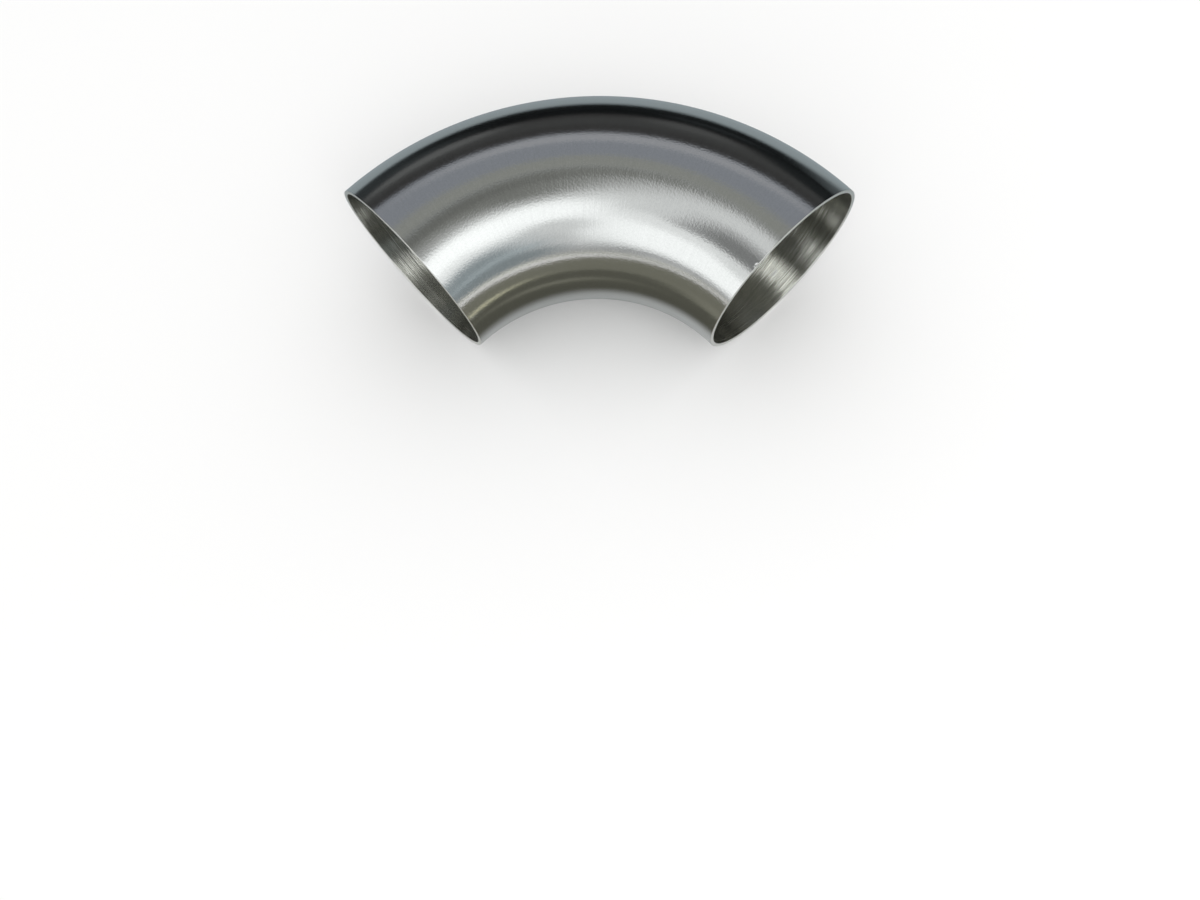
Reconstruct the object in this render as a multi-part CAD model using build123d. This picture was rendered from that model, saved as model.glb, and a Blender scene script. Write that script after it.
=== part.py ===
from build123d import *
import os

# A polished stainless steel 90 degree elbow for butt welding into thin-walled tube.
# It is a single length of round tube, bent on one centre line radius.
# Both ends are sized true round over a short straight stretch, sawn square and lightly deburred.
#
# All sizes are in millimetres.
# The origin is the centre of port A, whose face looks towards -X.
# The bend turns about a vertical axis, from +X at port A towards +Y at port B.
# The elbow lies flat on its side, so +Z is the direction it is looked down on.

tube_outer_diameter = 101.6
wall_thickness = 2.0
bend_centre_radius = 131.0
bend_angle = 90.0
straight_end_length = 2.0
edge_break_radius = 0.3

tube_outer_radius = tube_outer_diameter / 2
tube_bore_radius = tube_outer_radius - wall_thickness

port_a_plane = Plane(origin=(0, 0, 0), x_dir=(0, 1, 0), z_dir=(1, 0, 0))
bend_axis = Axis((straight_end_length, bend_centre_radius, 0), (0, 0, 1))


def tube_wall_section(plane):
    """The wall of the tube cut square across: a ring between the outside and the bore."""
    return plane * (Circle(tube_outer_radius) - Circle(tube_bore_radius))


def elbow_shell():
    """The bend is a ring turned about the bend axis, and each end is the same ring pushed straight out."""
    port_a_end = extrude(tube_wall_section(port_a_plane), straight_end_length)
    bend_start = tube_wall_section(port_a_plane.offset(straight_end_length))
    bend = revolve(bend_start, axis=bend_axis, revolution_arc=bend_angle)
    port_b_end = port_a_end.mirror(Plane.YZ.offset(straight_end_length)).rotate(bend_axis, bend_angle)
    return port_a_end + bend + port_b_end


def deburred(shell):
    """Both cut faces lose their sharp edges, outside and in the bore."""
    cut_faces = shell.faces().filter_by(GeomType.PLANE)
    rim_edges = [edge for face in cut_faces for edge in face.edges()]
    return fillet(rim_edges, edge_break_radius)


elbow = deburred(elbow_shell())
elbow.label = "elbow"

os.makedirs("parts", exist_ok=True)
export_step(elbow, "parts/elbow.step")

print("volume", round(elbow.volume, 1), "mm3")
for cut_face in elbow.faces().filter_by(GeomType.PLANE):
    print("port centre", cut_face.center(CenterOf.BOUNDING_BOX), "looks towards", cut_face.normal_at())
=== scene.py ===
# %% [markdown]
# # A polished stainless steel elbow
#
# The real thing is a short length of thin tube, bent through a right angle, cut square at both ends and
# ground and polished on the outside. Polished steel has almost no colour of its own: what the eye reads
# as steel is the room, carried round the bend in long bands. So this lesson spends as much care on the
# room as on the metal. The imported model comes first, as a frame that is never moved.

import bpy
import numpy as np
from mathutils import Matrix, Vector


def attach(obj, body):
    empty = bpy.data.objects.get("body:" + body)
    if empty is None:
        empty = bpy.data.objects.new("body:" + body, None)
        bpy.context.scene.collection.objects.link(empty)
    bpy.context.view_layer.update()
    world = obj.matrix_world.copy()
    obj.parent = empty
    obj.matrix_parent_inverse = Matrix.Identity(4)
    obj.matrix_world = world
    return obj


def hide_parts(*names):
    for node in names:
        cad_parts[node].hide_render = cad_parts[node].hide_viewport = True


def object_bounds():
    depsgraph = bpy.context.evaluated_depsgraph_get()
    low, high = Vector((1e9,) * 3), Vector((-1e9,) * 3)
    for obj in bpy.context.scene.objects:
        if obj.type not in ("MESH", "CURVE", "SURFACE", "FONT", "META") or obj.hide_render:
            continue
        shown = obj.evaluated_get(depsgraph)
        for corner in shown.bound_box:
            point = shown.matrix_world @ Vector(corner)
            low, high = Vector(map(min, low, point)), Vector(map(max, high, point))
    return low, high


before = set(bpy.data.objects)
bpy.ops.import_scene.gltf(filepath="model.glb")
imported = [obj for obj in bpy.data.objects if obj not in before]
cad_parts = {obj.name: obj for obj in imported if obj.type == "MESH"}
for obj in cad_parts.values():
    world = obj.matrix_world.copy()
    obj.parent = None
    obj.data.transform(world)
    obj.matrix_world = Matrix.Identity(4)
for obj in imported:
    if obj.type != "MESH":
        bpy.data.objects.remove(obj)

cad_low, cad_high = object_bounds()
print("frame box", [round(v, 4) for v in (*cad_low, *cad_high)])

# %% [markdown]
# ## The elbow's sizes
#
# The frame gives the size of the box, and the tube's sizes follow from it, rounded to a tenth of a
# millimetre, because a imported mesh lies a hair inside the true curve. The elbow lies flat, so its height
# is the tube's outside diameter. Port A's centre is the origin, its face looks towards -X, and the bend
# turns about an upright axis until port B looks towards +Y.

# %% Sizes of the tube, in metres
OUTER_RADIUS = round(cad_high.z - cad_low.z, 4) / 2
WALL = 0.002
BORE_RADIUS = OUTER_RADIUS - WALL
STRAIGHT_END = 0.002
PORT_REACH = round(cad_high.y, 4)
BEND_RADIUS = PORT_REACH - STRAIGHT_END
BEND_AXIS = np.array([STRAIGHT_END, BEND_RADIUS, 0.0])
BEND_ANGLE = np.pi / 2
EDGE_BREAK = 0.0003
LENGTH = 2 * STRAIGHT_END + BEND_RADIUS * BEND_ANGLE
print("tube", OUTER_RADIUS, BORE_RADIUS, "bend radius", BEND_RADIUS, "length", round(LENGTH, 4))

# %% [markdown]
# ## The centre line as a formula
#
# Every point of the elbow is found from three numbers: how far along the centre line it is, how far out
# from that line, and at which angle round it. The line is a short straight, a quarter circle and another
# short straight. A curve object with a round bevel would draw the same tube, but it has no thickness, no
# cut rims and no numbers that a material could follow. With a formula, all of that comes from one place.

# %% Points along and around the tube
def centre_line(along):
    """Place and sideways direction of the centre line, where along is the distance from port A.

    The turn is (along - straight) / bend radius, held between 0 and the bend's angle. The place is the
    bend axis plus bend radius times sideways, plus what is left of the distance, straight on.
    Sideways points away from the bend axis.
    """
    turn = np.clip((along - STRAIGHT_END) / BEND_RADIUS, 0, BEND_ANGLE)
    sideways = np.stack([np.sin(turn), -np.cos(turn), 0 * turn], axis=-1)
    forward = np.stack([np.cos(turn), np.sin(turn), 0 * turn], axis=-1)
    left_over = along - STRAIGHT_END - turn * BEND_RADIUS
    return BEND_AXIS + BEND_RADIUS * sideways + left_over[..., None] * forward, sideways


def tube_points(along, out, angle):
    """Points at distance out from the centre line, at an angle round it.

    A point is centre + out * (cos angle * sideways + sin angle * up).
    """
    centre, sideways = centre_line(along)
    up = np.array([0.0, 0.0, 1.0])
    around = np.cos(angle)[..., None] * sideways + np.sin(angle)[..., None] * up
    return centre + out[..., None] * around


port_b = centre_line(np.array(LENGTH))[0]
print("port B's centre", port_b.round(4))

# %% [markdown]
# ## The wall's profile
#
# Cut the wall lengthwise and its section is one closed loop: along the outside from port A to port B,
# round port B's cut rim, back through the bore, and round port A's rim. The rim's corners are small
# quarter circles, because the saw's burr has been taken off. Carried right round the tube, the loop makes
# a skin with no open edge anywhere.
#
# Stations crowd towards the ports, so that the smooth shading of the long sides isn't pulled about by the
# tiny corners next to them, and so that there are enough of them to carry a nick.

# %% Stations and corners
STEPS_ALONG = 150
STEPS_CORNER = 5
CROWDING = 0.75


def crowded(count):
    """Numbers from 0 to 1 that crowd at both ends: half of 1 minus the cosine, mixed with an even row."""
    even = np.linspace(0, 1, count)
    return CROWDING * (1 - np.cos(np.pi * even)) / 2 + (1 - CROWDING) * even


def corner(middle_along, middle_out, start, stop):
    """A quarter circle of the edge break's radius between two angles, as rows of along and out."""
    turn = np.linspace(start, stop, STEPS_CORNER)
    return np.stack([middle_along + EDGE_BREAK * np.cos(turn), middle_out + EDGE_BREAK * np.sin(turn)])


stations = EDGE_BREAK + crowded(STEPS_ALONG) * (LENGTH - 2 * EDGE_BREAK)
print("stations", len(stations), "first step", round((stations[1] - stations[0]) * 1000, 3), "mm")

# %% The closed loop and its zones
OUTSIDE, RIM, BORE = 0, 1, 2


def wall_loop():
    """The closed loop as two arrays, along and out, and the zone of the stretch that follows each point."""
    near, far = EDGE_BREAK, LENGTH - EDGE_BREAK
    low, high = BORE_RADIUS + EDGE_BREAK, OUTER_RADIUS - EDGE_BREAK
    quarter = np.pi / 2
    rim_b = np.hstack([corner(far, high, quarter, 0)[:, 1:], corner(far, low, 0, -quarter)[:, :-1]])
    rim_a = np.hstack([corner(near, low, -quarter, -2 * quarter)[:, 1:],
                       corner(near, high, 2 * quarter, quarter)[:, :-1]])
    outside = np.stack([stations, np.full_like(stations, OUTER_RADIUS)])
    bore = np.stack([stations[::-1], np.full_like(stations, BORE_RADIUS)])
    stretch, rim = STEPS_ALONG - 1, rim_a.shape[1] + 1
    zone = np.repeat([OUTSIDE, RIM, BORE, RIM], [stretch, rim, stretch, rim])
    loop = np.hstack([outside, rim_b, bore, rim_a])
    return loop[0], loop[1], zone


loop_along, loop_out, loop_zone = wall_loop()
print("points round the wall's section", len(loop_along))

# %% [markdown]
# ## A nick in the rim
#
# Port A's edge has been knocked against something: there is a dent a millimetre or so long, with a bright
# burr beside it. A bump in the material would leave the outline whole, so the dent is pressed into the
# mesh itself. The columns that run along the tube are 1.2 mm apart, too coarse for that, and so a few
# fine ones are added just there.

# %% Columns around the tube, and the dent
STEPS_AROUND = 256
NICK_ANGLE = np.radians(118)
NICK_HALF_WIDTH = 0.0006
NICK_DEPTH = 0.0006
NICK_REACH = 0.0008
BURR_OFFSET = 0.0011
BURR_HALF_WIDTH = NICK_HALF_WIDTH / 2
BURR_HEIGHT = 0.00016
FINE_COLUMNS = 22
FINE_REACH = 3.3 * NICK_HALF_WIDTH

even_angles = np.arange(STEPS_AROUND) * 2 * np.pi / STEPS_AROUND
fine_angles = NICK_ANGLE + np.linspace(-1, 1, FINE_COLUMNS) * FINE_REACH / OUTER_RADIUS
around_angles = np.sort(np.concatenate([even_angles, fine_angles]))


def hump(distance, half_width):
    """A bell: e to the power of minus (distance / half width) squared."""
    return np.exp(-(distance / half_width) ** 2)


def nicked(along, out, angle):
    """Along and out with the dent pressed in.

    The dent is a bell across the edge times a bell along the tube, and it fades towards the bore. It pushes
    the edge inwards and, half as far, back from the face. The burr is a smaller bell beside it, pushed out.
    """
    across = (angle - NICK_ANGLE) * OUTER_RADIUS
    depth = np.clip((out - BORE_RADIUS) / WALL, 0, 1) ** 2 * hump(along, NICK_REACH)
    dent = depth * hump(across, NICK_HALF_WIDTH)
    burr = depth * hump(across - BURR_OFFSET, BURR_HALF_WIDTH)
    return along + NICK_DEPTH / 2 * dent, out - NICK_DEPTH * dent + BURR_HEIGHT * burr


print("columns", len(around_angles), "finest", round(np.diff(fine_angles)[0] * OUTER_RADIUS * 1000, 3), "mm")

# %% [markdown]
# ## The skin
#
# The loop is carried round the tube, one row for each point of the loop and one column for each angle.
# The last row joins the first, and so does the last column, which closes the skin without any seam.

# %% Build the mesh
def grid_mesh(name, points, closed):
    """A mesh of quads over a grid of points. If it is closed, the last row and column join the first."""
    rows, columns = points.shape[:2]
    index = np.arange(rows * columns).reshape(rows, columns)
    if closed:
        index = np.vstack([index, index[:1]])
        index = np.hstack([index, index[:, :1]])
    quads = np.stack([index[:-1, :-1], index[1:, :-1], index[1:, 1:], index[:-1, 1:]], axis=-1)
    mesh = bpy.data.meshes.new(name)
    mesh.from_pydata(points.reshape(-1, 3), [], quads.reshape(-1, 4))
    mesh.shade_smooth()
    return mesh


grid_angle, grid_along = np.meshgrid(around_angles, loop_along)
grid_out = np.repeat(loop_out[:, None], len(around_angles), axis=1)
pressed_along, pressed_out = nicked(grid_along, grid_out, grid_angle)
skin = grid_mesh("polished_elbow", tube_points(pressed_along, pressed_out, grid_angle), closed=True)
elbow = bpy.data.objects.new("polished_elbow", skin)
bpy.context.scene.collection.objects.link(elbow)
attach(elbow, "root")
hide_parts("elbow")
print("faces", len(skin.polygons), "points", len(skin.vertices))

# %% [markdown]
# ## Numbers that the finish follows
#
# Grinding lines run round the tube, whatever way the bend turns, so the material can't work in plain X, Y
# and Z. Each point therefore carries its distance along the tube and the cosine and sine of its angle.
# The cosine and sine, and not the angle, because a pattern on them meets itself without a seam. Each face
# also gets the number of its zone, which picks its material.

# %% Grain and zones
grain = np.stack([grid_along, np.cos(grid_angle), np.sin(grid_angle)], axis=-1)
skin.attributes.new("grain", "FLOAT_VECTOR", "POINT").data.foreach_set("vector", grain.ravel())
face_zone = np.repeat(loop_zone, len(around_angles))
skin.polygons.foreach_set("material_index", face_zone.astype(np.int32))
print("faces outside, on the rims and in the bore", np.bincount(face_zone))

# %% [markdown]
# ## An unevenly brushed bore, with painted highlights
#
# Look into either mouth and the bore isn't one grey. The brush that honed it pressed harder in some
# places than in others, and that left deeper lines along the tube. The bright and dull streaks along the
# tube are painted highlights and painted shade in the bore's colour. They turn a little on their way round
# the bend, which a noise wouldn't do, so they are worked out here, where the distance and the angle are at
# hand, and kept on the points for the material to read. Angles are in degrees from the outside of the
# bend, and the top of the tube is at 90. Between the two mouths each streak changes evenly.

# %% Streaks in the bore: line depth and painted highlights
EVEN_PRESSURE_AND_HIGHLIGHT = 0.3
HARDEST_PRESSURE_AND_HIGHLIGHT = 1.3
STREAKS = (
    # Angle at port A, angle at port B, half width, and the brush pressure and painted highlight that it adds
    # at port A and at port B
    (-132, -134, 18.0, -0.35, -0.12),
    (-104, -111, 9.0, 0.0, -0.36),
    (-84, -81, 7.0, 0.0, -0.15),
    (-72.5, -60.5, 7.2, 1.20, 0.40),
    (-60, -48, 3.5, -0.24, -0.15),
    (-47, -40, 5.5, 0.25, 0.0),
    (-33, -32, 6.0, -0.20, -0.42),
    (-20, -9, 6.0, 0.42, 0.35),
    (10, 25, 7.0, 0.0, -0.08),
    (50, 41, 8.0, 0.40, 0.40),
    (96, 108, 9.0, 0.50, 0.40),
    (150, 141, 9.0, -0.30, -0.30),
    (-158, -150, 8.0, 0.40, 0.30),
)
# A darker spot inside port A, which takes away line depth and painted highlight
DARK_SPOT_ALONG = 0.0145
DARK_SPOT_REACH = 0.0055
DARK_SPOT_ANGLE = -49
DARK_SPOT_HALF_WIDTH = 6.0
DARK_SPOT_LOSS = 0.40


def degrees_apart(angle, middle):
    """Degrees from a middle angle to each angle in radians, the short way round."""
    return (np.degrees(angle) - middle + 180) % 360 - 180


def brush_pressure_and_painted_highlights(along, angle):
    """An even level of line depth and painted highlight, plus a bell round the tube for each streak, less
    one darker spot inside port A.
    """
    pressure_and_highlight = np.full(angle.shape, EVEN_PRESSURE_AND_HIGHLIGHT)
    towards_b = along / LENGTH
    for angle_a, angle_b, half_width, adds_a, adds_b in STREAKS:
        middle = angle_a + (angle_b - angle_a) * towards_b
        adds = adds_a + (adds_b - adds_a) * towards_b
        pressure_and_highlight += adds * hump(degrees_apart(angle, middle), half_width)
    dark_spot = hump(along - DARK_SPOT_ALONG, DARK_SPOT_REACH)
    dark_spot = dark_spot * hump(degrees_apart(angle, DARK_SPOT_ANGLE), DARK_SPOT_HALF_WIDTH)
    return np.clip(pressure_and_highlight - DARK_SPOT_LOSS * dark_spot, 0, HARDEST_PRESSURE_AND_HIGHLIGHT)


# The streaks set the depth of the bore's lines, and the painted highlights and painted shade in its colour
pressure_and_highlight = brush_pressure_and_painted_highlights(grid_along, grid_angle)
skin.attributes.new("honing_and_painted_highlights", "FLOAT", "POINT").data.foreach_set("value", pressure_and_highlight.ravel())
print("brush pressure from", pressure_and_highlight.min().round(2), "to", pressure_and_highlight.max().round(2))

# %% [markdown]
# ## A flat map of the skin
#
# The materials can be baked into pictures, and those need every face to have a place of its own in a unit
# square. The loop's four stretches are laid side by side as strips, with the angle upwards.

# %% Flat map
MAP_MARGIN = 0.01


def flat_map():
    """Corners of every face in a unit square: the way round the loop across, and the angle upwards.

    A gap is left at each change of zone and at both sides, five for four strips. The loop is scaled until
    all strips and gaps fit the width.
    """
    wrapped_along, wrapped_out = np.append(loop_along, loop_along[0]), np.append(loop_out, loop_out[0])
    steps = np.hypot(np.diff(wrapped_along), np.diff(wrapped_out))
    new_strip = np.concatenate([[False], np.diff(loop_zone) != 0])
    scale = (1 - 5 * MAP_MARGIN) / steps.sum()
    stop = np.cumsum(steps * scale) + MAP_MARGIN * (1 + np.cumsum(new_strip))
    start = stop - steps * scale
    top = np.append(around_angles[1:], around_angles[0] + 2 * np.pi) / (2 * np.pi)
    bottom = around_angles / (2 * np.pi)
    upwards = 1 - 2 * MAP_MARGIN
    corners_u = np.stack([start, stop, stop, start], axis=-1)[:, None, :]
    corners_v = MAP_MARGIN + upwards * np.stack([bottom, bottom, top, top], axis=-1)[None, :, :]
    return np.stack(np.broadcast_arrays(corners_u, corners_v), axis=-1)


flat = flat_map()
skin.uv_layers.new(name="OFBake").data.foreach_set("uv", flat.ravel())
print("map from", flat.min((0, 1, 2)).round(3), "to", flat.max((0, 1, 2)).round(3))

# %% [markdown]
# ## Shader maths
#
# A finish is a formula too, and node graphs are a slow way to write formulas. One small class stands for
# an output socket and turns plus and times into Math nodes. Another makes any other node, with its
# settings first and its inputs after them.

# %% Two small helpers
class Wire:
    """One output socket. Adding and multiplying wires adds Math nodes."""

    def __init__(self, tree, socket):
        self.tree, self.socket = tree, socket

    def math(self, operation, *values):
        return self.tree.node("ShaderNodeMath", {"operation": operation}, dict(enumerate(values)))

    def __add__(self, other):
        return self.math("ADD", self, other)

    def __radd__(self, other):
        return self.math("ADD", other, self)

    def __mul__(self, other):
        return self.math("MULTIPLY", self, other)

    def __rmul__(self, other):
        return self.math("MULTIPLY", other, self)


class Tree:
    """The nodes of one material or of the world."""

    def __init__(self, owner):
        owner.use_nodes = True
        self.owner, self.graph = owner, owner.node_tree
        self.graph.nodes.clear()

    def node(self, kind, settings=None, inputs=None, output=0):
        """Adds a node: first its settings, then the values or wires of its sockets."""
        made = self.graph.nodes.new(kind)
        for name, value in (settings or {}).items():
            setattr(made, name, value)
        for key, value in (inputs or {}).items():
            if isinstance(value, Wire):
                self.graph.links.new(value.socket, made.inputs[key])
            else:
                made.inputs[key].default_value = value
        return Wire(self, made.outputs[output]) if made.outputs else None

    def finish(self, surface):
        """Plugs the surface into the material's output and hands the material back."""
        self.node("ShaderNodeOutputMaterial", {}, {"Surface": surface})
        return self.owner


print("a wire can be added and multiplied")

# %% [markdown]
# ## Lines and mottle
#
# Every finish of this elbow is made of two noises. One reads the grain and is stretched round the tube,
# so that it turns into lines. The other reads the object's own coordinates and is the same in all
# directions. Their sizes are in metres. A shader for the metal takes a height in metres as well, so a
# line can be said to be as deep as a real one, and one Bump node turns it into tilted light.

# %% Two noises and one metal
def hoop_lines(tree, width, turns, detail=2.0):
    """Noise that changes every width metres along the tube, and only turns times a radian round it."""
    place = tree.node("ShaderNodeAttribute", {"attribute_name": "grain"}, output="Vector")
    stretched = tree.node("ShaderNodeVectorMath", {"operation": "MULTIPLY"}, {
        0: place, 1: (1 / width, turns, turns)})
    return tree.node("ShaderNodeTexNoise", {}, {"Vector": stretched, "Scale": 1.0, "Detail": detail})


def mottle(tree, size, detail=2.0):
    """Noise with lumps of about the given size in metres, the same in all directions."""
    place = tree.node("ShaderNodeTexCoord", output="Object")
    return tree.node("ShaderNodeTexNoise", {}, {"Vector": place, "Scale": 1 / size, "Detail": detail})


def steel_shader(tree, colour, roughness, height, tone):
    """A metal whose colour is multiplied by a grey tone, and whose height in metres tilts the light."""
    tint = tree.node("ShaderNodeVectorMath", {"operation": "SCALE"}, {0: colour, "Scale": tone})
    normal = tree.node("ShaderNodeBump", {}, {
        "Strength": 1.0, "Distance": 1.0, "Filter Width": 0.03, "Height": height})
    return tree.node("ShaderNodeBsdfPrincipled", {}, {
        "Base Color": tint, "Metallic": 1.0, "Roughness": roughness, "Normal": normal})


print("noises ready, and the metal that they drive")

# %% [markdown]
# ## The ground and polished outside
#
# Three things lie on top of each other. Fine lines from the polishing belt run round the tube: they
# hardly touch the bands that run along the bend, but smear everything that would cross them. Under the
# lines the steel has the faint peel of an orange's skin. And the tube is never quite even after bending,
# so the bands waver a little. All three are heights, added up. Lines and peel also change the tone, and
# the polish is a little cloudier in some places than in others.

# %% Outside
OUTSIDE_COLOUR = (0.61, 0.61, 0.603)
FINE_LINE, BROAD_LINE = 0.0007, 0.0018
PEEL, CLOUD, WAVER = 0.0010, 0.012, 0.035
LINE_HEIGHT, PEEL_HEIGHT, WAVER_HEIGHT = 0.000008, 0.000032, 0.00008


def polished_outside():
    tree = Tree(bpy.data.materials.new("polished_outside"))
    fine, broad = hoop_lines(tree, FINE_LINE, 2.0, detail=1.0), hoop_lines(tree, BROAD_LINE, 1.5)
    peel, waver = mottle(tree, PEEL), mottle(tree, WAVER, detail=1.0)
    height = fine * LINE_HEIGHT + peel * PEEL_HEIGHT + waver * WAVER_HEIGHT
    tone = 0.87 + fine * 0.08 + broad * 0.04 + peel * 0.12
    roughness = 0.07 + fine * 0.05 + mottle(tree, CLOUD) * 0.05
    return tree.finish(steel_shader(tree, OUTSIDE_COLOUR, roughness, height, tone))


skin.materials.append(polished_outside())
print("outside finished, lines every", FINE_LINE * 1000, "mm")

# %% [markdown]
# ## The cut rims and the bore
#
# The rims were sawn and then rubbed over, so they are the roughest part, with short scratches every way.
# The bore was honed with a coarse brush, and its lines run round the tube like the ones outside. Where
# the brush pressed harder they are deeper, and the bright and dull streaks are painted highlights and
# painted shade in its colour. Both are a little warmer in colour than the polished outside.

# %% Rim and bore
RIM_COLOUR = (0.74, 0.73, 0.70)
BORE_COLOUR = (0.74, 0.735, 0.68)
SCRATCH, SCRATCH_HEIGHT = 0.0004, 0.00002
HONED_LINE, HONED_BAND = 0.0003, 0.0011
FAINTEST_LINE_HEIGHT, PRESSED_LINE_HEIGHT = 0.000015, 0.00026


def sawn_rim():
    tree = Tree(bpy.data.materials.new("sawn_rim"))
    scratches = mottle(tree, SCRATCH)
    tone, roughness = 0.9 + scratches * 0.2, 0.3 + scratches * 0.2
    return tree.finish(steel_shader(tree, RIM_COLOUR, roughness, scratches * SCRATCH_HEIGHT, tone))


def honed_bore_with_painted_highlights():
    tree = Tree(bpy.data.materials.new("honed_bore_with_painted_highlights"))
    pressure_and_highlight = tree.node("ShaderNodeAttribute", {"attribute_name": "honing_and_painted_highlights"}, output="Fac")
    fine, broad = hoop_lines(tree, HONED_LINE, 1.0, detail=1.0), hoop_lines(tree, HONED_BAND, 2.0)
    height = fine * (pressure_and_highlight * PRESSED_LINE_HEIGHT + FAINTEST_LINE_HEIGHT)
    # The first factor is painted highlight and painted shade along the streaks; the second is the brush's
    # broad bands, a tone that differs at random
    tone = (0.58 + pressure_and_highlight * 0.55) * (0.72 + broad * 0.56)
    return tree.finish(steel_shader(tree, BORE_COLOUR, 0.2 + fine * 0.1, height, tone))


skin.materials.append(sawn_rim())
skin.materials.append(honed_bore_with_painted_highlights())
print("materials", [m.name for m in skin.materials])

# %% [markdown]
# ## The floor
#
# The elbow lies on a plain pale floor, which catches its shadow. Directions in the studio are given as
# the photographer sees them: away from the camera, to the right, and up.

# %% Floor
AWAY = np.array([1.0, -1.0, 0.0]) / np.sqrt(2)
RIGHT = np.array([-1.0, -1.0, 0.0]) / np.sqrt(2)
UP = np.array([0.0, 0.0, 1.0])
FLOOR_REACH = 3.0
FLOOR_COLOUR = (0.94, 0.94, 0.935)


def stage_sheet(name, points, material):
    """A sheet that belongs to the studio, and not to the elbow."""
    mesh = grid_mesh(name, points, closed=False)
    mesh.materials.append(material)
    sheet = bpy.data.objects.new(name, mesh)
    bpy.context.scene.collection.objects.link(sheet)
    return sheet


def floor_paint():
    tree = Tree(bpy.data.materials.new("floor_paint"))
    return tree.finish(tree.node("ShaderNodeBsdfDiffuse", {}, {"Color": (*FLOOR_COLOUR, 1)}))


ends = np.array([-FLOOR_REACH, FLOOR_REACH])
floor_x, floor_y = np.meshgrid(ends, ends, indexing="ij")
floor_points = np.stack([floor_x, floor_y, np.full_like(floor_x, cad_low.z)], axis=-1)
stage_sheet("floor", floor_points, floor_paint())
print("floor at", round(cad_low.z, 4))

# %% [markdown]
# ## The room that the steel reflects
#
# In an even white room polished steel looks like white plastic, so a photographer hangs cards round it:
# black ones to draw the shape, and large soft windows to fill it. They stand outside the picture, and
# here only reflections see them, so they add no light to the floor. They are painted on one big dome, and
# a card is a soft-edged patch of it.
#
# A place on the dome is given by two angles. Over is 0 at the horizon behind the elbow, 90 straight up
# and 180 at the horizon behind the camera. Lean is how far it is to the right of that path. Levels are
# brightness, where 1 is white paper in the room's light.

# %% Places on the dome
DOME_RADIUS = 6.0
OVER_FROM, OVER_TO, OVER_STEP = -6.0, 186.0, 1.0
LEAN_TO, LEAN_STEP = 88.0, 2.0

over_degrees = np.arange(OVER_FROM, OVER_TO + OVER_STEP, OVER_STEP)
lean_degrees = np.arange(-LEAN_TO, LEAN_TO + LEAN_STEP, LEAN_STEP)
over, lean = np.meshgrid(over_degrees, lean_degrees, indexing="ij")
over_turn, lean_turn = np.radians(over)[..., None], np.radians(lean)[..., None]
path = np.cos(over_turn) * AWAY + np.sin(over_turn) * UP
outwards = np.cos(lean_turn) * path + np.sin(lean_turn) * RIGHT
dome_points = BEND_AXIS + DOME_RADIUS * outwards
print("dome points", over.size)

# %% [markdown]
# A painting starts as one colour, and each thing on it is laid over what is there, as with real paint. A
# cover says how thick the new paint is, from 0 to 1. Tints are near grey, because polished steel shows
# the least colour at once.

# %% Paint and tints
NEUTRAL = (0.98, 1.01, 1.01)
COOL = (0.89, 1.03, 1.08)
LAVENDER = (0.92, 0.985, 1.095)
LILAC = (0.96, 0.99, 1.05)
OLIVE = (1.00, 1.035, 0.965)
CREAM = (1.03, 1.04, 0.93)
KHAKI = (1.07, 1.07, 0.86)
STRAW = (1.12, 1.10, 0.78)


class Painting:
    """The colours of all points of a grid."""

    def __init__(self, grid_shape, colour):
        self.colours = np.ones((*grid_shape, 3)) * np.array(colour)

    def lay(self, cover, level, tint=NEUTRAL):
        """Colours times (1 - cover), plus the new colour, which is level times tint, times cover."""
        self.colours += cover[..., None] * (level * np.array(tint) - self.colours)


print("coolest tint", COOL, "and warmest", STRAW)

# %% [markdown]
# Three shapes of cover are enough for the room: a band right across it, a soft ellipse and a soft
# rectangle.

# %% Soft shapes on the dome
PAST_EDGE = 200  # An over angle beyond the dome's edge, for a band that has only its first edge


def ramp(value, edge, soft):
    """Rises from 0 to 1 in a smooth S that is soft wide and centred on the edge."""
    share = np.clip((value - edge) / soft + 0.5, 0, 1)
    return share * share * (3 - 2 * share)


def between(value, ends, softs):
    """1 between two ends, each with its own soft edge."""
    return ramp(value, ends[0], softs[0]) * ramp(-value, -ends[1], softs[1])


def band(overs, softs):
    """From one over angle to another, and as far as the dome goes to left and right."""
    return between(over, overs, softs)


def window(overs, leans, over_soft, lean_soft):
    """A soft rectangle."""
    return between(over, overs, (over_soft, over_soft)) * between(lean, leans, (lean_soft, lean_soft))


def patch(middle, half, soft, slant=0.0):
    """A soft ellipse, where middle and half are pairs of over and lean.

    Soft is a share of its size. Slant is how far it shifts in over for each degree of lean.
    """
    shifted = over - slant * (lean - middle[1])
    reach = np.hypot((shifted - middle[0]) / half[0], (lean - middle[1]) / half[1])
    return ramp(-reach, -1, soft)


print("a ramp at its start, edge and end", ramp(np.array([-0.5, 0.0, 0.5]), 0.0, 1.0))

# %% [markdown]
# The wall behind the elbow is nearly black. It is what draws the dark band along the back of the bend.
# Its foot is blackest, and a few faint smears keep it from looking cut out of paper.

# %% The dark wall behind
WALL_COLOUR = (0.05, 0.05, 0.05)

room = Painting(over.shape, WALL_COLOUR)
room.lay(band((15, 27), (7, 8)), 0.068)
room.lay(band((-20, 10), (1, 6)), 0.010, COOL)
room.lay(patch((0, -38), (12, 16), 0.8), 0.045, COOL)
room.lay(patch((14.5, -27), (6, 11), 0.9), 0.15)
room.lay(patch((15, 10), (5, 7), 0.9), 0.10)
room.lay(patch((12, 31), (8, 10), 0.9), 0.02, COOL)
room.lay(patch((0.5, 14), (3, 8), 0.9), 0.035, COOL)
print("mean level of the wall", room.colours[over < 38].mean().round(3))

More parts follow.
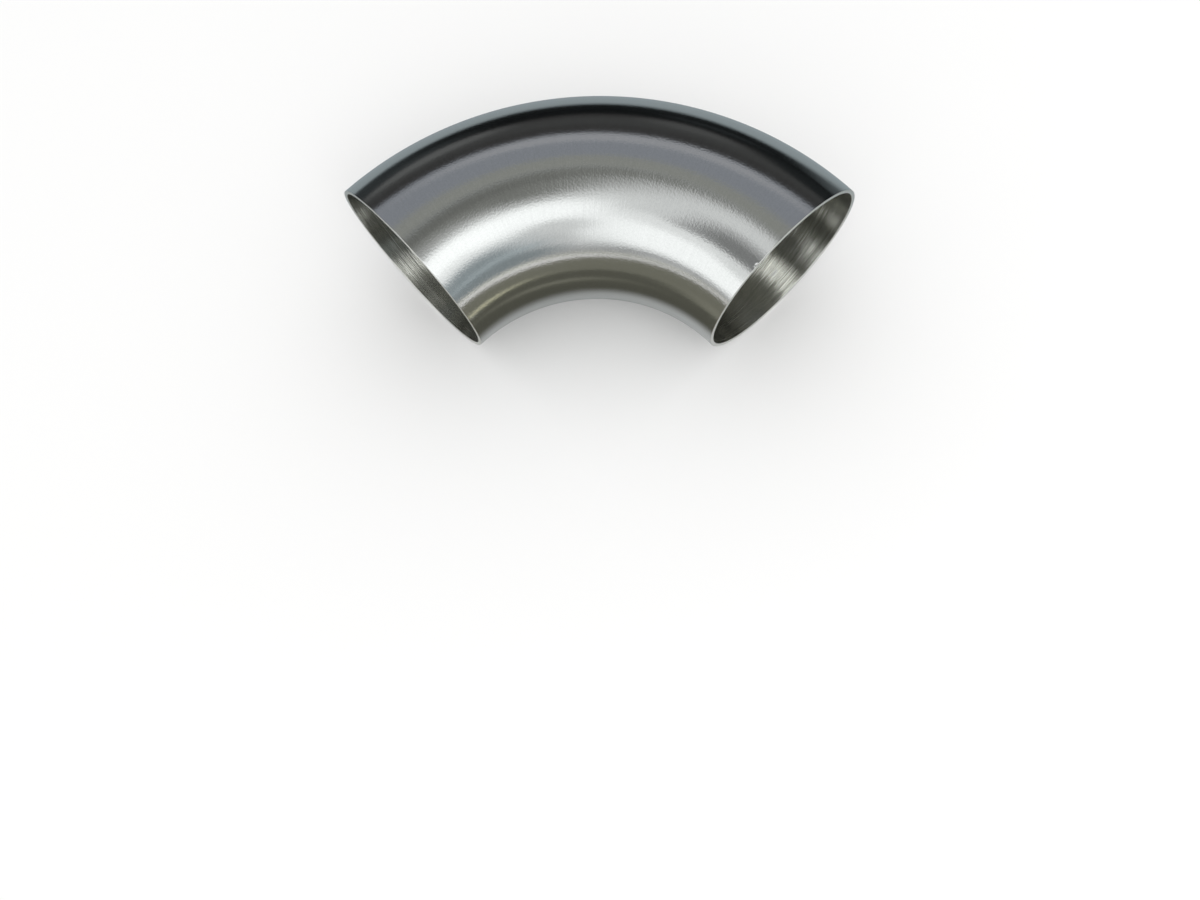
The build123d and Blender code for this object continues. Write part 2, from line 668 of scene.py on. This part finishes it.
# %% [markdown]
# Above the wall hangs a lavender grey card with a crisp lower edge, which gives the band next to the
# black one. Then comes the big window, right across the ceiling. Its far edge is so soft that it makes
# the long gradient on the top of the tube. A dimmer window with firmer edges stands to its left, and
# straight overhead a few dark things break the gradient.

# %% The ceiling
room.lay(band((38.5, 93), (5, 14)), 0.33, LAVENDER)
room.lay(patch((44.5, 0), (5, 22), 0.8), 0.44, LILAC)
room.lay(band((67, 80), (6, 5)), 0.34, OLIVE)
room.lay(band((81, PAST_EDGE), (6, 1)), 0.23, OLIVE)
room.lay(band((106, PAST_EDGE), (46, 1)), 1.37)
room.lay(patch((124.5, 8), (10, 12), 0.9), 1.55)
room.lay(patch((97, 3.5), (11.5, 6.5), 1.3), 0.24, OLIVE)
room.lay(patch((118, 30), (15.5, 18), 0.8), 1.65)
room.lay(patch((131, 41), (9, 14), 0.9), 1.3)
room.lay(window((78, 127), (-28, -8.7), 8, 11), 0.92)
room.lay(patch((87, 2), (5, 7), 0.9), 0.19, OLIVE)
room.lay(patch((84, -5), (4.5, 3.5), 0.9), 0.25, OLIVE)
room.lay(patch((102, -25), (9, 5), 0.9), 0.55)
room.lay(patch((144, 7), (9, 12), 0.9), 0.92)
print("mean level of the ceiling", room.colours[(over > 38) & (over < 150)].mean().round(3))

# %% [markdown]
# The wall behind the camera shows on the inner side of the bend. A bright window fills its left and
# reaches up to the ceiling, where a dark flag leans across its end. The right is grey. Towards the
# horizon the wall gets darker, and along the horizon itself runs a thin cream strip.

# %% The wall behind the camera
room.lay(band((155, PAST_EDGE), (24, 1)), 1.00)
room.lay(patch((158, 9), (9, 8.5), 0.9), 0.82)
room.lay(patch((151, -38), (22, 30), 0.8), 1.5)
room.lay(patch((129, -25), (7, 16), 0.9), 1.15)
room.lay(patch((122, -43), (11, 7), 0.9), 1.05)
room.lay(patch((121.5, -24), (4, 4), 0.9), 0.66)
room.lay(patch((108.28, -32.6), (13.5, 10.2), 0.7, slant=0.45), 0.28)
room.lay(patch((153, 42), (17, 25), 1.0), 0.40, COOL)
room.lay(patch((157.5, 33), (3.5, 20), 0.9), 0.57, COOL)
room.lay(band((168, PAST_EDGE), (16, 1)), 0.48)
room.lay(patch((168, 34), (8, 26), 0.8), 0.33, COOL)
room.lay(patch((172, -30), (3, 20), 0.9), 0.42)
room.lay(patch((175, -33), (3, 13), 0.9), 0.66)
room.lay(band((177, PAST_EDGE), (4, 1)), 0.62, CREAM)
room.lay(band((182.5, PAST_EDGE), (3, 1)), 0.42, OLIVE)
room.lay(patch((182.5, 34), (5, 22), 0.8), 0.88, CREAM)
print("mean level behind the camera", room.colours[over > 150].mean().round(3))

# %% [markdown]
# The dome is a grid over the same two angles. Its paint is kept on the points of the mesh and glows by
# itself, so no lamp has to light it.

# %% Dome
def unseen_card(sheet):
    """Only reflections see the card: it hides nothing from the camera and sheds neither light nor shadow."""
    sheet.visible_camera = False
    sheet.visible_diffuse = False
    sheet.visible_shadow = False
    sheet.visible_transmission = False


def keep_paint(sheet, painting):
    """Keeps the painting on the points of the sheet's mesh, for its material to read."""
    opaque = np.ones_like(painting.colours[..., :1])
    colours = np.concatenate([painting.colours, opaque], axis=-1)
    sheet.data.attributes.new("paint", "FLOAT_COLOR", "POINT").data.foreach_set("color", colours.ravel())


def glowing_paint():
    tree = Tree(bpy.data.materials.new("glowing_paint"))
    paint = tree.node("ShaderNodeAttribute", {"attribute_name": "paint"}, output="Color")
    return tree.finish(tree.node("ShaderNodeEmission", {}, {"Color": paint, "Strength": 1.0}))


dome = stage_sheet("room_dome", dome_points, glowing_paint())
keep_paint(dome, room)
unseen_card(dome)
print("brightest paint on the dome", room.colours.max().round(2))

# %% [markdown]
# ## The cloth that the steel reflects
#
# Below the horizon steel shows what it lies on. A pale floor would wash out both flanks, so a cloth is
# spread under the elbow, again for reflections alone. It is ordinary matt cloth, lit by the room, so the
# elbow's own shadow falls on it. Side is the direction on the floor, in degrees to the right of straight
# away, and distance is measured from the bend axis in metres. The cloth is a grid of rays and rings, and
# the rings crowd towards the axis, where the smallest patches are.

# %% Places on the cloth
CLOTH_LIFT = 0.0002
CLOTH_REACH = 5.9
RAYS, RINGS = 121, 120

side, spread = np.meshgrid(np.linspace(-180, 180, RAYS), np.linspace(0, 1, RINGS), indexing="ij")
distance = CLOTH_REACH * spread ** 3
side_turn = np.radians(side)[..., None]
cloth_points = BEND_AXIS + distance[..., None] * (np.cos(side_turn) * AWAY + np.sin(side_turn) * RIGHT)
cloth_points[..., 2] = cad_low.z + CLOTH_LIFT
print("cloth points", side.size)

# %% [markdown]
# Near the elbow the cloth is mid-grey, and far away as pale as the floor. Behind the back of the bend it
# turns from blue-grey to black, which is the other half of the dark band. The black comes nearer at the
# right end and keeps off a little at the left, and it isn't quite as black at either. In front of each
# cut face lies a white doorstep, so that the rims shine.

# %% Cloth behind the bend
GREY_REACH = 0.5
BACK_HALF_ANGLE = 64
BACK_STARTS = 0.19
BLACK_STARTS = 0.555
DOORSTEP_SIDE = 55
DOORSTEP_DISTANCE = 0.13

cloth_paint = Painting(side.shape, FLOOR_COLOUR)
cloth_paint.lay(ramp(-distance, -GREY_REACH, 0.4), 0.52)

behind = ramp(-np.abs(side), -BACK_HALF_ANGLE, 12) * ramp(distance, BACK_STARTS, 0.03)
cloth_paint.lay(behind, 0.36, COOL)
comes_nearer = 0.155 * ramp(side, 34, 18) - 0.05 * ramp(-side, 35, 16)
black = behind * ramp(distance + comes_nearer, BLACK_STARTS, 0.28)
cloth_paint.lay(black, 0.010, COOL)
cloth_paint.lay(black * ramp(side, 32, 18), 0.12, COOL)
cloth_paint.lay(black * ramp(-side, 32, 24), 0.05, COOL)

doorsteps = hump(np.abs(side) - DOORSTEP_SIDE, 9) * hump(distance - DOORSTEP_DISTANCE, 0.05)
cloth_paint.lay(doorsteps, 0.94)
print("share of black cloth", black.mean().round(3))

# %% [markdown]
# In front of the bend the cloth is khaki. In its hollow it is darker still, but for a paler spot on the
# axis and a glow to the left. A pale foot runs under the inner flank, and one straw-coloured streak lies
# in front of it on the right. They give the inner flank its thin bright lines.

# %% Cloth in the hollow
KHAKI_FROM, KHAKI_TO = 112, 275
KHAKI_REACH = 0.85
HOLLOW_REACH = 0.078
GLOW_FROM, GLOW_TO = 0.045, 0.14
FOOT_FROM, FOOT_TO = 0.059, 0.09
STREAK_STARTS = 0.071

around = side % 360
fades = ramp(-distance + 0.5 * ramp(around, 190, 50), -KHAKI_REACH, 0.6)
in_front = between(around, (KHAKI_FROM, KHAKI_TO), (14, 20)) * fades
cloth_paint.lay(in_front, 0.19, KHAKI)

hollow = ramp(-distance, -HOLLOW_REACH, 0.012)
cloth_paint.lay(hollow, 0.11, KHAKI)
cloth_paint.lay(hollow * hump(distance, 0.010), 0.24, KHAKI)
glow = hump(around - 262, 26) * between(distance, (GLOW_FROM, GLOW_TO), (0.03, 0.06))
cloth_paint.lay(glow, 0.25, KHAKI)

foot = (1 - in_front) * ramp(distance + 0.012 * np.sin(side_turn[..., 0]), FOOT_FROM, 0.034)
cloth_paint.lay(foot * ramp(-distance, -FOOT_TO, 0.01), 0.67)
streak = hump(around - 130, 22) * hump(distance - STREAK_STARTS - 0.0008 * (around - 120), 0.012)
cloth_paint.lay(streak, 0.88, STRAW)
print("share of khaki cloth", in_front.mean().round(3))

# %% Cloth
def matt_paint():
    tree = Tree(bpy.data.materials.new("matt_paint"))
    paint = tree.node("ShaderNodeAttribute", {"attribute_name": "paint"}, output="Color")
    return tree.finish(tree.node("ShaderNodeBsdfDiffuse", {}, {"Color": paint}))


cloth = stage_sheet("grey_cloth", cloth_points, matt_paint())
keep_paint(cloth, cloth_paint)
unseen_card(cloth)
print("palest paint on the cloth", cloth_paint.colours.max().round(2))

# %% [markdown]
# ## Light
#
# The room itself is white and even, so that a colour renders about as it is written. One large soft lamp
# over the photographer's right shoulder gives the shadow on the floor a direction. The lamp isn't seen in
# the steel, because the painted windows are there already.

# %% World and lamp
world = bpy.data.worlds.new("studio")
bpy.context.scene.world = world
sky = Tree(world)
air = sky.node("ShaderNodeBackground", {}, {"Color": (1, 1, 1, 1), "Strength": 1.0})
sky.node("ShaderNodeOutputWorld", {}, {"Surface": air})

LAMP_PLACE = Vector((-0.9, 0.2, 1.3))
LAMP_SIZE = 0.9
LAMP_POWER = 3.0
lamp_data = bpy.data.lights.new("soft_lamp", "AREA")
lamp_data.shape = "DISK"
lamp_data.size = LAMP_SIZE
lamp_data.energy = LAMP_POWER
lamp = bpy.data.objects.new("soft_lamp", lamp_data)
lamp.location = LAMP_PLACE
lamp.rotation_euler = (Vector(BEND_AXIS) - LAMP_PLACE).to_track_quat("-Z", "Y").to_euler()
lamp.visible_glossy = False
lamp.visible_camera = False
bpy.context.scene.collection.objects.link(lamp)
print("lamp", round((Vector(BEND_AXIS) - LAMP_PLACE).length, 2), "m away")

# %% [markdown]
# ## The camera
#
# The camera looks down steeply from half a metre away, and sees into both mouths. Its place was found by
# fitting the tube's outline, so it is given to a hundredth of a millimetre. The lens follows from the
# picture's width in pixels and the distance, also in pixels, at which the picture would stand from the
# eye.

# %% Camera
PHOTO_WIDTH = 1200
FOCAL_PIXELS = 1033.3
SENSOR_WIDTH = 36.0
CAMERA_PLACE = Vector((-0.10838, 0.19456, 0.48722))
LOOKS_AT = Vector((-0.00285, 0.12968, 0.0))
PICTURE_UP_TURN = np.radians(-43.55)

camera_data = bpy.data.cameras.new("camera")
camera_data.sensor_width = SENSOR_WIDTH
camera_data.lens = FOCAL_PIXELS * SENSOR_WIDTH / PHOTO_WIDTH
camera = bpy.data.objects.new("camera", camera_data)
bpy.context.scene.collection.objects.link(camera)
picture_up = Vector((np.cos(PICTURE_UP_TURN), np.sin(PICTURE_UP_TURN), 0))
forward = (LOOKS_AT - CAMERA_PLACE).normalized()
picture_right = forward.cross(picture_up).normalized()
camera_axes = Matrix((picture_right, picture_right.cross(forward), -forward)).transposed()
camera.matrix_world = Matrix.Translation(CAMERA_PLACE) @ camera_axes.to_4x4()
bpy.context.scene.camera = camera
bpy.context.scene.view_settings.view_transform = "Standard"
print("lens", round(camera_data.lens, 2), "mm")
